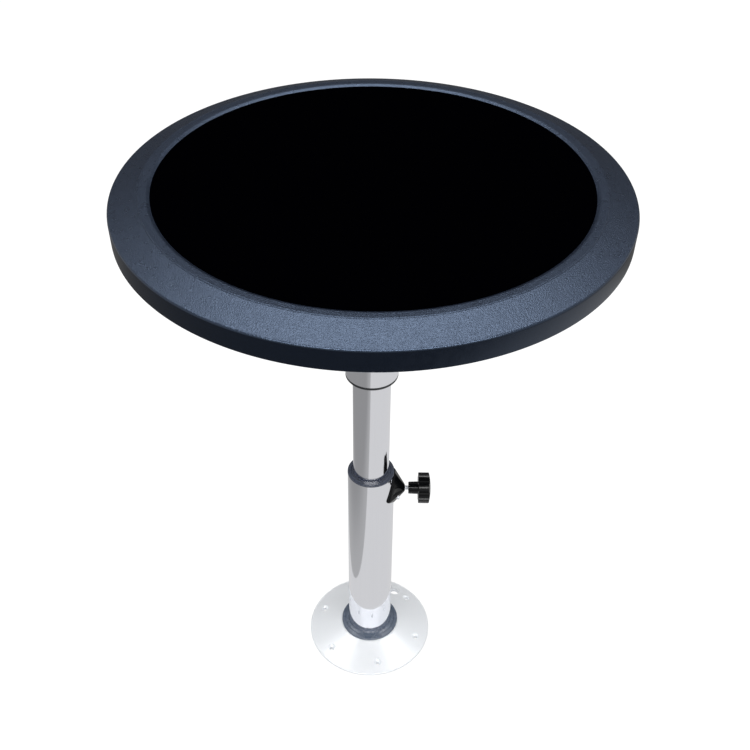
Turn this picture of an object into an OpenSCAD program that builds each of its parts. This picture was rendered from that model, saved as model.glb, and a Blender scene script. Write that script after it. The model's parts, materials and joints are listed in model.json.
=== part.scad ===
// Lifting table: a round moulded top on a telescopic aluminium column with a screw clamp.
// Millimetres, +Z up. The origin is the centre of the floor plate's underside.

/* [Table top] */
// Outer diameter of the top at its upper edge
top_d = 540; // [400:5:700]
// Height of the rim's vertical skirt
skirt_h = 24; // [18:1:40]
// Rise of the sloped rim from the skirt's edge to the crest
rim_rise = 11; // [6:0.5:16]
// Inward taper of the skirt from its upper edge to its foot
skirt_taper = 0.5; // [0:0.1:2]
// Width of the sloped rim, from the outer edge to the crest
rim_w = 31.5; // [25:0.5:60]
// Width of the inner band, from the crest to the inlay
band_w = 12; // [8:0.5:20]
// Width of the band's inner edge that falls to the inlay
fall_w = 3.5; // [2:0.5:5]
// Drop of that inner edge from the flat band to the inlay
band_drop = 2; // [0.5:0.1:3]
// Width of the rim's flat foot
rim_foot_w = 17; // [12:0.5:22]
// Radius on the rim's outer upper edge
edge_r = 2; // [1:0.25:4]
// Thickness of the black inlay
inlay_t = 3; // [2:0.5:5]
// Thickness of the core board
board_t = 18; // [14:1:19]
// Width of the shoulder of the rim that covers the board's edge
shoulder_w = 24; // [15:1:30]

/* [Column tubes] */
// Outer diameter of the lower tube
lower_d = 60; // [58:0.5:64]
// Wall of the lower tube
lower_wall = 2.5; // [2:0.1:3]
// Length of the lower tube
lower_len = 317; // [290:1:400]
// Outer diameter of the inner tube
inner_d = 46; // [44:0.5:48]
// Wall of the inner tube
inner_wall = 2; // [1.5:0.1:3]
// Length of the inner tube that stays inside the lower tube at the stored height
inner_overlap = 107; // [90:1:115]
// Gap between the collar and the sleeve bush at the stored height
shown_len = 159.5; // [120:0.5:200]
// Outer diameter of the sleeve under the top
sleeve_d = 63; // [61:0.5:66]
// Wall of the sleeve
sleeve_wall = 2; // [1.5:0.1:3]
// Length of the sleeve
sleeve_len = 228; // [180:0.1:260]

/* [Bushes and guides] */
// Height of the collar's flange above the tube's mouth
collar_t = 2; // [1.5:0.25:4]
// Depth of the collar inside the lower tube
collar_depth = 14; // [10:1:15]
// Height of the lower bush's black edge below the sleeve
bush_lip = 3.5; // [2:0.5:6]
// Depth of each sleeve bush inside the sleeve
bush_depth = 26; // [18:1:40]
// Height of the guide that runs in the lower tube
guide_h = 12; // [8:1:16]
// Depth of the guide's stem in the inner tube
guide_stem = 20; // [12:1:30]
// Radial running clearance of a sliding or turning fit
run_gap = 0.05; // [0.02:0.01:0.1]
// Radial clearance of a piece that is fixed in another
seat_gap = 0.05; // [0.02:0.01:0.1]

/* [Height clamp] */
// Height of the clamp's axis below the lower tube's mouth
clamp_drop = 30; // [27:0.5:34]
// Distance that the bracket stands out from the tube
bracket_out = 14; // [13:0.5:18]
// Half angle of the tube that the bracket covers
bracket_angle = 44; // [40:1:50]
// Thickness of the bracket's wings at their ends
wing_t = 3.5; // [3:0.25:5]
// Diameter of the threaded stud
stud_d = 6; // [5:0.5:6.5]
// Thread pitch of the stud, which is the pad's travel in one turn
stud_pitch = 1; // [0.8:0.1:1.25]
// Diameter of the pressure pad
pad_d = 10; // [9:0.25:10.5]
// Gap between the pad and the inner tube when the clamp is just free
pad_gap = 0.3; // [0.2:0.05:0.5]
// Width across the flats of the captive nut
nut_af = 10; // [9:0.25:11]
// Thickness of the captive nut
nut_t = 5; // [4:0.5:5.5]
// Shank diameter of the bracket's screws
bracket_screw_d = 3.5; // [3:0.25:4]
// Head diameter of the bracket's screws
bracket_head_d = 6.5; // [6:0.25:7.5]

/* [Star knob] */
// Diameter over the knob's lobes
knob_d = 40; // [34:1:50]
// Thickness of the knob's head
knob_t = 16.5; // [12:0.5:20]
// Number of lobes
knob_lobes = 5; // [5:1:7]
// Depth of the valleys between the lobes
knob_valley = 5; // [3:0.5:6]
// Height of the domed outer face
knob_dome = 2.5; // [1:0.5:4]
// Diameter of the hub
hub_d = 16.4; // [13:0.2:20]
// Length of the hub
hub_len = 12.5; // [8:0.5:16]
// Gap between the bracket's nose and the hub when the clamp is just free
knob_gap = 4.5; // [4:0.5:8]

/* [Floor plate] */
// Diameter of the floor plate
base_d = 173; // [160:1:200]
// Thickness of the floor plate at its edge and under the column
base_t = 3; // [2.6:0.1:5]
// Height of the cone's flat top, on which the ring lies
cone_h = 17.5; // [14:0.5:22]
// Diameter of the cone's flat top
cone_d = 83; // [81:0.5:92]
// Thickness of the cone over the hollow beneath
cone_wall = 3.5; // [2.5:0.25:4]
// Pitch circle diameter of the floor screws
floor_pcd = 142; // [132:1:150]
// Number of floor screws
floor_count = 6; // [4:1:6]
// Diameter of the floor screw holes
floor_hole_d = 5.5; // [4.5:0.25:6]
// Countersink diameter of the floor screw holes
floor_csk_d = 11; // [10:0.25:11.5]
// Diameter of the larger plain hole
plain_hole_d = 14; // [10:0.5:15]
// Diameter of the circle on which the plain hole lies
plain_hole_pcd = 133; // [126:1:136]
// Outer diameter of the ring round the foot
ring_d = 80; // [76:0.5:84]
// Height of the ring round the foot
ring_h = 5.5; // [4:0.5:8]
// Height of the spigot inside the lower tube
spigot_h = 40; // [25:1:45]
// Wall of the spigot
spigot_wall = 7.5; // [6.5:0.25:9]

/* [Top flange] */
// Diameter of the flange under the top
flange_d = 160; // [140:1:200]
// Thickness of the flange plate
flange_t = 4; // [3:0.5:6]
// Pitch circle diameter of the flange screws
flange_pcd = 136; // [126:1:140]
// Number of flange screws and ribs
flange_count = 6; // [4:1:8]
// Depth of the socket that holds the sleeve
socket_h = 32; // [24:1:45]
// Wall of the socket
socket_wall = 4.5; // [4:0.25:7]
// Diameter of the pivot bolt
bolt_d = 10; // [8:0.5:12]

/* [Hidden] */
$fn = 96;
// Overlap used only where one cut must pass right through another surface
cut = 1;

// Radii of the tubes
lower_r = lower_d / 2;
lower_bore_r = lower_r - lower_wall;
inner_r = inner_d / 2;
inner_bore_r = inner_r - inner_wall;
sleeve_r = sleeve_d / 2;
sleeve_bore_r = sleeve_r - sleeve_wall;

// Heights up the column
mouth_z = base_t + lower_len;
collar_top = mouth_z + collar_t;
bush_z = collar_top + shown_len;
sleeve_z = bush_z + bush_lip;
sleeve_top = sleeve_z + sleeve_len;
inner_foot_z = mouth_z - inner_overlap;
clamp_z = mouth_z - clamp_drop;

// The stack at the top of the column: plug with its stem, washer and flange plate
washer_t = 2;
plug_head = 5;
plug_stem = 24;
plug_z = sleeve_top - washer_t - plug_head;
board_z = sleeve_top + flange_t;
inlay_z = board_z + board_t;
inlay_top = inlay_z + inlay_t;
crest_z = inlay_top + band_drop;
edge_z = crest_z - rim_rise;
rim_foot_z = edge_z - skirt_h;

// Radii of the top
top_r = top_d / 2;
crest_r = top_r - rim_w;
inlay_r = crest_r - band_w;
board_r = inlay_r + shoulder_w;

// Clearance round the inlay and the board in the rim
panel_gap = 0.2;

// Screws of the flange
flange_screw_r = 2.4;
flange_head_r = 4.6;
flange_screw_len = 15;
// Head of the pivot bolt, its washer face and the recess for it in the board
bolt_r = bolt_d / 2;
bolt_af = bolt_d * 1.6;
bolt_head_t = 6;
bolt_recess = bolt_head_t + 1;
bolt_recess_r = bolt_af / 2 + 4;
bolt_seat = 0.2;
bolt_grip = 18;
// Ribs of the flange: thickness, how far their feet stay above the socket's mouth,
// height of their outer ends and depth to which they merge with plate and socket
rib_t = 5;
rib_clear = 9.6;
rib_end_h = 2;
rib_merge = 0.5;
rib_edge = 6;
rib_screw_gap = 4;
// Set screws of the socket, with the radius and depth of their hexagon sockets
grub_r = 2.5;
grub_count = 3;
grub_key_r = 1.4;
grub_key_depth = 2;
grub_z = sleeve_top - socket_h / 2;
// Distance from the set screws down to the upper bush
bush_under_grub = 6;
// Wall and lead-in of the guide on the inner tube
guide_wall = 4;
guide_lead = 1.5;

// Clamp along +X, measured from the column's axis
nose_x = lower_r + bracket_out;
nose_r = 4.5;
pad_front = inner_r + pad_gap;
pad_rear = lower_r + 1.5;
stud_tip_r = stud_d / 2 - 1;
stud_tip_len = 3;
// End play between the stud's shoulder and the pad
pad_play = 0.2;
// Depth of the pad's blank inside the inner tube's radius, cut back to the hollow face
pad_blank = 2;
clamp_turns = 2;
clamp_travel = stud_pitch * clamp_turns;
nut_x = pad_rear + clamp_travel + 1;
hub_x = nose_x + knob_gap;
head_x = hub_x + hub_len;
// Length of the stud inside the knob's head
stud_grip = 6;
// A lobe of the knob points up and to the front
knob_phase = 224;
// The bracket's screws, beside and a little below the clamp's axis
bracket_screw_y = 12.5;
screw_down = -5;
bracket_screw_z = clamp_z + screw_down;
bracket_seat_x = lower_r + 4.5;
bracket_head_t = 2.5;
bracket_screw_tip = lower_bore_r - 4;
bracket_key_r = 1.5;
bracket_key_depth = 1.5;
bracket_head_taper = 1;

// Floor plate
base_r = base_d / 2;
base_edge = 1;
floor_phase = 40;
plain_hole_angle = 57;
column_socket_r = lower_r + seat_gap;
// The cone's upper and lower ends, with a narrow flat ledge outside it
cone_r = cone_d / 2;
ledge_w = 2;
cone_foot_r = base_r - ledge_w;
// Beneath: the land on which the edge stands, the socket's wall, and the bosses and ribs
land_w = 7;
web_w = 5;
boss_w = 4;
plate_rib_t = 4;
spigot_r = lower_bore_r - seat_gap;
spigot_screw_r = 2;
spigot_screw_head_r = 4;
spigot_screw_len = 16;
spigot_screw_count = 3;
spigot_pitch_r = spigot_r - spigot_wall / 2;

// Colours as the photo shows them
rim_colour = "#2b3440";
black = "#0c0d10";
dark_plastic = "#3c4655";
polished = "#c9cacf";
plate_colour = "#e4e6ea";
zinc = "#b8bcc2";

// A tube that stands on z
module tube(r, bore, z, h) {
    translate([0, 0, z]) difference() {
        cylinder(r = r, h = h);
        translate([0, 0, -cut]) cylinder(r = bore, h = h + 2 * cut);
    }
}

// Copies of the children, spread evenly on a circle of radius r
module ring_of(count, r, phase = 0) {
    for (i = [0:count - 1]) rotate([0, 0, phase + i * 360 / count]) translate([r, 0, 0]) children();
}

// Turns a shape built along +Z so that it lies along +X on the clamp's axis
module along_clamp(x) {
    translate([x, 0, clamp_z]) rotate([0, 90, 0]) children();
}

// Countersunk screw, head down, tip up, standing on z = 0
module csk_screw(r, head_r, len) {
    cylinder(r1 = head_r, r2 = r, h = head_r - r);
    cylinder(r = r, h = len);
}

// The moulded edge: skirt, rounded edge, sloped face, flat band with a falling edge, and shoulder
module top_rim() {
    // The edge's arc turns from the upright skirt to the slope
    turn = atan(rim_w / rim_rise);
    steps = 6;
    arc = [top_r - edge_r, edge_z - edge_r * tan(turn / 2)];
    foot_chamfer = 1;
    color(rim_colour) rotate_extrude($fn = 180) polygon(concat(
        [[top_r - rim_foot_w, rim_foot_z], [top_r - skirt_taper - foot_chamfer, rim_foot_z],
            [top_r - skirt_taper, rim_foot_z + foot_chamfer]],
        [for (i = [0:steps]) arc + edge_r * [cos(i * turn / steps), sin(i * turn / steps)]],
        [[crest_r, crest_z], [inlay_r + fall_w, crest_z], [inlay_r, inlay_top], [inlay_r, inlay_z],
            [board_r, inlay_z], [board_r, board_z]]));
}

module inlay_panel() {
    color(black) translate([0, 0, inlay_z]) cylinder(r = inlay_r - panel_gap, h = inlay_t, $fn = 180);
}

// Round board with blind holes for the flange screws and the pivot bolt's head
module core_board() {
    color("#24211e") difference() {
        translate([0, 0, board_z]) cylinder(r = board_r - panel_gap, h = board_t, $fn = 180);
        translate([0, 0, board_z - cut]) cylinder(r = bolt_recess_r, h = bolt_recess + cut);
        translate([0, 0, board_z - cut]) ring_of(flange_count, flange_pcd / 2)
            cylinder(r = flange_screw_r + seat_gap, h = flange_screw_len - flange_t + 2 * cut);
    }
}

// Cast flange: a plate with a ribbed socket for the sleeve
module top_flange() {
    socket_r = sleeve_r + seat_gap + socket_wall;
    rib_in = socket_r - 2 * rib_merge;
    rib_out = min(flange_pcd / 2 - flange_head_r - rib_screw_gap, flange_d / 2 - rib_edge);
    rib_top = sleeve_top + rib_merge;
    color("#5a5d62") difference() {
        union() {
            translate([0, 0, sleeve_top]) cylinder(r = flange_d / 2, h = flange_t);
            translate([0, 0, sleeve_top - socket_h]) cylinder(r = socket_r, h = socket_h);
            for (i = [0:flange_count - 1]) rotate([90, 0, (i + 0.5) * 360 / flange_count])
                translate([0, 0, -rib_t / 2]) linear_extrude(rib_t) polygon([
                    [rib_in, rib_top], [rib_out, rib_top], [rib_out, sleeve_top - rib_end_h],
                    [rib_in, sleeve_top - socket_h + rib_clear]]);
        }
        translate([0, 0, sleeve_top - socket_h - cut])
            cylinder(r = sleeve_r + seat_gap, h = socket_h + cut);
        translate([0, 0, sleeve_top - cut]) cylinder(r = bolt_r + run_gap, h = flange_t + 2 * cut);
        translate([0, 0, sleeve_top]) ring_of(flange_count, flange_pcd / 2) {
            translate([0, 0, -cut]) cylinder(r = flange_screw_r + seat_gap, h = flange_t + 2 * cut);
            cylinder(r1 = flange_head_r + seat_gap, r2 = flange_screw_r + seat_gap,
                h = flange_head_r - flange_screw_r);
        }
        translate([0, 0, grub_z]) ring_of(grub_count, sleeve_r)
            rotate([0, 90, 0]) cylinder(r = grub_r + seat_gap, h = 2 * socket_wall);
    }
}

module flange_screws() {
    color(zinc) translate([0, 0, sleeve_top]) ring_of(flange_count, flange_pcd / 2)
        csk_screw(flange_screw_r, flange_head_r, flange_screw_len);
}

module upper_sleeve() {
    color(polished) tube(sleeve_r, sleeve_bore_r, sleeve_z, sleeve_len);
}

// Set screws with a socket in their outer ends
module sleeve_grub_screws() {
    color(zinc) translate([0, 0, grub_z]) ring_of(grub_count, sleeve_r + seat_gap)
        rotate([0, 90, 0]) difference() {
            cylinder(r = grub_r, h = socket_wall);
            translate([0, 0, socket_wall - grub_key_depth])
                cylinder(r = grub_key_r, h = grub_key_depth + cut, $fn = 6);
        }
}

// Bush with the thin black edge seen below the sleeve
module sleeve_bush_lower() {
    color(black) difference() {
        union() {
            translate([0, 0, bush_z]) cylinder(r = sleeve_r, h = bush_lip);
            translate([0, 0, sleeve_z]) cylinder(r = sleeve_bore_r - seat_gap, h = bush_depth);
        }
        translate([0, 0, bush_z - cut])
            cylinder(r = inner_r + run_gap, h = bush_lip + bush_depth + 2 * cut);
    }
}

// Second bush, above the middle of the sleeve and held by the same interference
module sleeve_bush_upper() {
    bush_top = grub_z - bush_under_grub;
    color(black) tube(sleeve_bore_r - seat_gap, inner_r + run_gap, bush_top - bush_depth, bush_depth);
}

// Plug in the top end of the inner tube, threaded for the pivot bolt
module pivot_plug() {
    color(zinc) difference() {
        union() {
            translate([0, 0, plug_z]) cylinder(r = inner_r, h = plug_head);
            translate([0, 0, plug_z - plug_stem])
                cylinder(r = inner_bore_r - seat_gap, h = plug_stem);
        }
        translate([0, 0, plug_z - plug_stem - cut])
            cylinder(r = bolt_r + seat_gap, h = plug_stem + plug_head + 2 * cut);
    }
}

module thrust_washer() {
    color("#d8d8d2") tube(inner_r, bolt_r + run_gap, sleeve_top - washer_t, washer_t);
}

// Bolt that keeps the top on the column and on which it turns
module pivot_bolt() {
    shank = flange_t + washer_t + plug_head + bolt_grip;
    head_z = board_z + bolt_seat;
    color(zinc) {
        translate([0, 0, head_z - shank]) cylinder(r = bolt_r, h = shank);
        translate([0, 0, head_z]) cylinder(r = bolt_af / 2 / cos(30), h = bolt_head_t, $fn = 6);
    }
}

module inner_tube() {
    color(polished) tube(inner_r, inner_bore_r, inner_foot_z, plug_z - inner_foot_z);
}

// Guide on the lower end of the inner tube, running in the lower tube
module tube_guide() {
    guide_r = lower_bore_r - run_gap;
    color(dark_plastic) difference() {
        union() {
            translate([0, 0, inner_foot_z - guide_h]) {
                cylinder(r1 = guide_r - guide_lead, r2 = guide_r, h = guide_lead);
                translate([0, 0, guide_lead]) cylinder(r = guide_r, h = guide_h - guide_lead);
            }
            translate([0, 0, inner_foot_z]) cylinder(r = inner_bore_r - seat_gap, h = guide_stem);
        }
        translate([0, 0, inner_foot_z - guide_h - cut])
            cylinder(r = inner_bore_r - guide_wall, h = guide_h + guide_stem + 2 * cut);
    }
}

// Collar in the mouth of the lower tube: a thin flange, flush with the tube, with a bead and a groove
module guide_collar() {
    bore = inner_r + run_gap;
    sleeve_out = lower_bore_r - seat_gap;
    bead_r = 1.2;
    inner_lip_w = 1.2;
    groove_w = 1.4;
    groove_depth = 0.7;
    groove_r = bore + inner_lip_w;
    color(dark_plastic) rotate_extrude() polygon(concat(
        [[bore, mouth_z - collar_depth], [sleeve_out, mouth_z - collar_depth],
            [sleeve_out, mouth_z], [lower_r, mouth_z]],
        [for (a = [0:30:90]) [lower_r - bead_r, collar_top - bead_r] + bead_r * [cos(a), sin(a)]],
        [[groove_r + groove_w, collar_top], [groove_r + groove_w / 2, collar_top - groove_depth],
            [groove_r, collar_top], [bore, collar_top]]));
}

// Lower tube with the pad's hole and the bracket's screw holes
module lower_tube() {
    color(polished) difference() {
        tube(lower_r, lower_bore_r, base_t, lower_len);
        along_clamp(inner_r) cylinder(r = pad_d / 2 + run_gap, h = lower_r);
        for (side = [-1, 1]) translate([0, side * bracket_screw_y, bracket_screw_z])
            rotate([0, 90, 0]) cylinder(r = bracket_screw_d / 2 + seat_gap, h = lower_d);
    }
}

// Ball at a point given as angle round the tube, distance out from it and height from the clamp
module ball_at(side, point, r) {
    angle = side * point[0];
    out = lower_r + point[1];
    translate([out * cos(angle), out * sin(angle), clamp_z + point[2]]) sphere(r = r, $fn = 24);
}

// Moulded saddle bracket: rounded wings on the tube, a high ridge and a small nose
module clamp_bracket() {
    ball_r = 2;
    nose_len = 4;
    // Where the skin is stretched: wing by the screw, shoulder, ridge beside the collar, and keel
    wing_point = [bracket_angle - 4, 0, screw_down];
    shoulder_point = [bracket_angle - 17, 0.5, 13];
    ridge_point = [7, -0.7, clamp_drop + collar_t - 0.5 - ball_r];
    keel_point = [20, 1, -14];
    // Each flank has a finger scoop above its screw, square to the line from wing to nose
    wing = (lower_r + wing_t) * [cos(bracket_angle), sin(bracket_angle)];
    flank = ([nose_x, nose_r] + wing) / 2;
    across = [nose_r - wing[1], wing[0] - nose_x] / norm([nose_x, nose_r] - wing);
    scoop_r = 24;
    scoop_depth = 2.2;
    scoop = flank - across * (scoop_r - scoop_depth);
    color(black) difference() {
        hull() {
            for (side = [-1, 1]) {
                ball_at(side, wing_point, wing_t);
                ball_at(side, shoulder_point, ball_r);
                ball_at(side, ridge_point, ball_r);
                ball_at(side, keel_point, ball_r);
            }
            along_clamp(nose_x - nose_len) cylinder(r = nose_r, h = nose_len, $fn = 32);
        }
        translate([0, 0, clamp_z - 2 * clamp_drop])
            cylinder(r = lower_r + seat_gap, h = 4 * clamp_drop);
        for (side = [-1, 1]) {
            translate([scoop[0], side * scoop[1], clamp_z + screw_down + bracket_head_d])
                cylinder(r = scoop_r, h = clamp_drop);
            translate([bracket_seat_x, side * bracket_screw_y, bracket_screw_z]) rotate([0, 90, 0])
                cylinder(r = bracket_head_d / 2 + seat_gap, h = bracket_out);
            translate([inner_r, side * bracket_screw_y, bracket_screw_z]) rotate([0, 90, 0])
                cylinder(r = bracket_screw_d / 2 + seat_gap, h = lower_r);
        }
        along_clamp(inner_r) cylinder(r = stud_d / 2 + run_gap, h = lower_r);
        along_clamp(inner_r) cylinder(r = pad_d / 2 + run_gap, h = nut_x - inner_r);
        along_clamp(inner_r)
            cylinder(r = nut_af / 2 / cos(30) + seat_gap, h = nut_x + nut_t - inner_r, $fn = 6);
    }
}

module bracket_screws() {
    color(zinc) for (side = [-1, 1])
        translate([bracket_screw_tip, side * bracket_screw_y, bracket_screw_z]) rotate([0, 90, 0]) {
            cylinder(r = bracket_screw_d / 2, h = bracket_seat_x - bracket_screw_tip);
            translate([0, 0, bracket_seat_x - bracket_screw_tip]) difference() {
                cylinder(r1 = bracket_head_d / 2, r2 = bracket_head_d / 2 - bracket_head_taper,
                    h = bracket_head_t);
                translate([0, 0, bracket_head_t - bracket_key_depth])
                    cylinder(r = bracket_key_r, h = bracket_head_t, $fn = 6);
            }
        }
}

module captive_nut() {
    color(zinc) along_clamp(nut_x) difference() {
        cylinder(r = nut_af / 2 / cos(30), h = nut_t, $fn = 6);
        translate([0, 0, -cut]) cylinder(r = stud_d / 2 + run_gap, h = nut_t + 2 * cut);
    }
}

// Stud with a reduced tip that turns in the pad
module clamp_stud() {
    color(zinc) {
        along_clamp(pad_rear - stud_tip_len) cylinder(r = stud_tip_r, h = stud_tip_len + cut);
        along_clamp(pad_rear + pad_play)
            cylinder(r = stud_d / 2, h = head_x + stud_grip - pad_rear - pad_play);
    }
}

// Outline of the lobed head
module knob_outline() {
    valley_r = 9;
    soft = 2.5;
    offset(r = soft, $fn = 32) offset(delta = -soft) difference() {
        circle(r = knob_d / 2);
        for (i = [0:knob_lobes - 1]) rotate([0, 0, (i + 0.5) * 360 / knob_lobes])
            translate([knob_d / 2 - knob_valley + valley_r, 0]) circle(r = valley_r);
    }
}

// Star knob: tapered hub and lobed head with a domed face
module star_knob() {
    knob_r = knob_d / 2;
    back_round = 1.2;
    steps = 8;
    draft = 0.4;
    // The dome falls away from the centre as the square of the radius
    profile = concat([[0, 0], [knob_r - back_round, 0], [knob_r, back_round]],
        [for (i = [steps:-1:0]) [knob_r * i / steps, knob_t - knob_dome * pow(i / steps, 2)]]);
    color(black) along_clamp(hub_x) rotate([0, 0, knob_phase]) difference() {
        union() {
            cylinder(r1 = hub_d / 2 - draft, r2 = hub_d / 2, h = hub_len + cut);
            translate([0, 0, hub_len]) intersection() {
                linear_extrude(knob_t) knob_outline();
                rotate_extrude() polygon(profile);
            }
        }
        translate([0, 0, -cut]) cylinder(r = stud_d / 2 + seat_gap, h = hub_len + stud_grip + cut);
    }
}

// Nylon pad with a hollow face that fits the inner tube
module pressure_pad() {
    color("#d8d8d2") difference() {
        along_clamp(inner_r - pad_blank)
            cylinder(r = pad_d / 2, h = pad_rear - inner_r + pad_blank);
        translate([0, 0, clamp_z - pad_d]) cylinder(r = pad_front, h = 2 * pad_d);
        along_clamp(pad_rear - stud_tip_len - pad_play)
            cylinder(r = stud_tip_r + run_gap, h = stud_tip_len + pad_play + cut);
    }
}

// Ring on the cone's top, round the foot: a chamfered edge and a face that rises to the tube
module foot_ring() {
    bore = lower_r + seat_gap;
    ring_r = ring_d / 2;
    top = cone_h + ring_h;
    edge_h = 1.8;
    edge_chamfer = 0.8;
    lip_w = 1.5;
    groove_w = 1;
    groove_depth = 0.6;
    groove_r = (bore + ring_r) / 2;
    face_r = ring_r - edge_chamfer;
    face_z = cone_h + edge_h + edge_chamfer;
    function face(r) = face_z + (top - face_z) * (face_r - r) / (face_r - bore - lip_w);
    color(dark_plastic) rotate_extrude() polygon([
        [bore, cone_h], [ring_r, cone_h], [ring_r, cone_h + edge_h], [face_r, face_z],
        [groove_r + groove_w / 2, face(groove_r + groove_w / 2)],
        [groove_r, face(groove_r) - groove_depth],
        [groove_r - groove_w / 2, face(groove_r - groove_w / 2)], [bore + lip_w, top], [bore, top]]);
}

// Height of the cone's surface at a distance from the axis
function cone_z(r) = base_t + (cone_h - base_t) * (cone_foot_r - r) / (cone_foot_r - cone_r);

// Cast floor plate: a shallow turned cone with a socket for the column, hollow and ribbed beneath
module base_plate() {
    color(plate_colour) difference() {
        rotate_extrude($fn = 144) polygon([[0, 0], [base_r, 0], [base_r, base_t - base_edge],
            [base_r - base_edge, base_t], [cone_foot_r, base_t], [cone_r, cone_h],
            [column_socket_r, cone_h], [column_socket_r, base_t], [0, base_t]]);
        plate_hollow();
        plate_holes();
    }
}

// The hollow beneath the cone, less the bosses and the ribs that stay in it
module plate_hollow() {
    land_r = base_r - land_w;
    web_r = column_socket_r + web_w;
    difference() {
        rotate_extrude() polygon([[web_r, -cut], [land_r, -cut], [land_r, cone_z(land_r) - cone_wall],
            [cone_r, cone_h - cone_wall], [web_r, cone_h - cone_wall]]);
        ring_of(floor_count, floor_pcd / 2, floor_phase) {
            translate([0, 0, -2 * cut]) cylinder(r = floor_csk_d / 2 + boss_w, h = cone_h + 2 * cut);
            translate([web_r - floor_pcd / 2 - cut, -plate_rib_t / 2, -2 * cut])
                cube([floor_pcd / 2 - web_r + cut, plate_rib_t, cone_h + 2 * cut]);
        }
        rotate([0, 0, plain_hole_angle]) translate([plain_hole_pcd / 2, 0, -2 * cut])
            cylinder(r = plain_hole_d / 2 + boss_w, h = cone_h + 2 * cut);
    }
}

// Countersunk holes, the larger plain hole and the seats of the screws from beneath
module plate_holes() {
    csk = (floor_csk_d - floor_hole_d) / 2;
    hole_top = cone_z(floor_pcd / 2);
    ring_of(floor_count, floor_pcd / 2, floor_phase) {
        translate([0, 0, -cut]) cylinder(r = floor_hole_d / 2, h = cone_h);
        translate([0, 0, hole_top - csk])
            cylinder(r1 = floor_hole_d / 2, r2 = floor_csk_d / 2, h = csk);
        translate([0, 0, hole_top]) cylinder(r = floor_csk_d / 2, h = cone_h);
    }
    rotate([0, 0, plain_hole_angle]) translate([plain_hole_pcd / 2, 0, -cut])
        cylinder(r = plain_hole_d / 2, h = cone_h + 2 * cut);
    ring_of(spigot_screw_count, spigot_pitch_r) {
        translate([0, 0, -cut]) cylinder(r = spigot_screw_r + seat_gap, h = base_t + 2 * cut);
        cylinder(r1 = spigot_screw_head_r + seat_gap, r2 = spigot_screw_r + seat_gap,
            h = spigot_screw_head_r - spigot_screw_r);
    }
}

// Spigot on the plate that the lower tube stands over
module base_spigot() {
    lead = 2;
    color(zinc) difference() {
        translate([0, 0, base_t]) {
            cylinder(r = spigot_r, h = spigot_h - lead);
            translate([0, 0, spigot_h - lead]) cylinder(r1 = spigot_r, r2 = spigot_r - lead, h = lead);
        }
        translate([0, 0, base_t - cut]) cylinder(r = spigot_r - spigot_wall, h = spigot_h + 2 * cut);
        translate([0, 0, base_t - cut]) ring_of(spigot_screw_count, spigot_pitch_r)
            cylinder(r = spigot_screw_r + seat_gap, h = spigot_screw_len - base_t + 2 * cut);
    }
}

module spigot_screws() {
    color(zinc) ring_of(spigot_screw_count, spigot_pitch_r)
        csk_screw(spigot_screw_r, spigot_screw_head_r, spigot_screw_len);
}

top_rim();
inlay_panel();
core_board();
top_flange();
flange_screws();
upper_sleeve();
sleeve_grub_screws();
sleeve_bush_lower();
sleeve_bush_upper();
pivot_plug();
thrust_washer();
pivot_bolt();
inner_tube();
tube_guide();
guide_collar();
lower_tube();
clamp_bracket();
bracket_screws();
captive_nut();
clamp_stud();
star_knob();
pressure_pad();
foot_ring();
base_plate();
base_spigot();
spigot_screws();
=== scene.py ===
"""Looks of a lifting table: a round moulded top on a telescopic column with a screw clamp.

Every visible piece is turned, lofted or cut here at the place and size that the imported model
gives, and each gets a procedural finish that reads Object coordinates.
"""

import json
import logging
import math
from collections.abc import Callable, Sequence
from dataclasses import dataclass, field
from enum import Enum

import bmesh
import bpy
from mathutils import Matrix, Vector

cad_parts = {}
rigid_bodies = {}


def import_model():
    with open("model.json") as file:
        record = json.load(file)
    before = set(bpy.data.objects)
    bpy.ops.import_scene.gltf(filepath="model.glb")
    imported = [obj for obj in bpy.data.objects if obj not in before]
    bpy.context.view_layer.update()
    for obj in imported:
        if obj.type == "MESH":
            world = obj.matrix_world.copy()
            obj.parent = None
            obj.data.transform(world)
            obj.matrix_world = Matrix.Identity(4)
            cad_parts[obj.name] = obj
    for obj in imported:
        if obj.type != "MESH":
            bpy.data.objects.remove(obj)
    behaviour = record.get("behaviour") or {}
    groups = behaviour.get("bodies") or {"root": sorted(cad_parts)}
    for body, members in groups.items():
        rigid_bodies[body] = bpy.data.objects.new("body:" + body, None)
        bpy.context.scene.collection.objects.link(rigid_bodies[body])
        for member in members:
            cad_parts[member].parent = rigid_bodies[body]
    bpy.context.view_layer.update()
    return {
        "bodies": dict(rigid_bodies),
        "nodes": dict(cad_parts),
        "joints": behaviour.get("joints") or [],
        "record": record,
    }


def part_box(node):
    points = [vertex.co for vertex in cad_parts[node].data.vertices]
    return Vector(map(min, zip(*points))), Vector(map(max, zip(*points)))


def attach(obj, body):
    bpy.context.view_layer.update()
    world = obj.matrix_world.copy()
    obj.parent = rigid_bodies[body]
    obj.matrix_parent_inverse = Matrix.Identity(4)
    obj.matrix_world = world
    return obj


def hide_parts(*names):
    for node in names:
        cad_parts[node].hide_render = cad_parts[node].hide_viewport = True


log = logging.getLogger("lifting_table")

Mesh = bmesh.types.BMesh
Socket = bpy.types.NodeSocket
Colour = tuple[float, float, float]
Ring = Callable[[float], tuple[float, float]]

MM = 0.001
FULL_TURN = 2 * math.pi
PHOTO_SIDE_PX = 750
SHARP_ANGLE = math.radians(32)
MERGE = 1e-6
# Turns a shape made along +Z so that its foot faces outwards
FACING_OUT = Matrix.Rotation(-math.pi / 2, 4, "Y")
# Head radius of the bracket's screws, which sets where the lower tube is drilled
BRACKET_HEAD_R = 3.25 * MM


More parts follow.
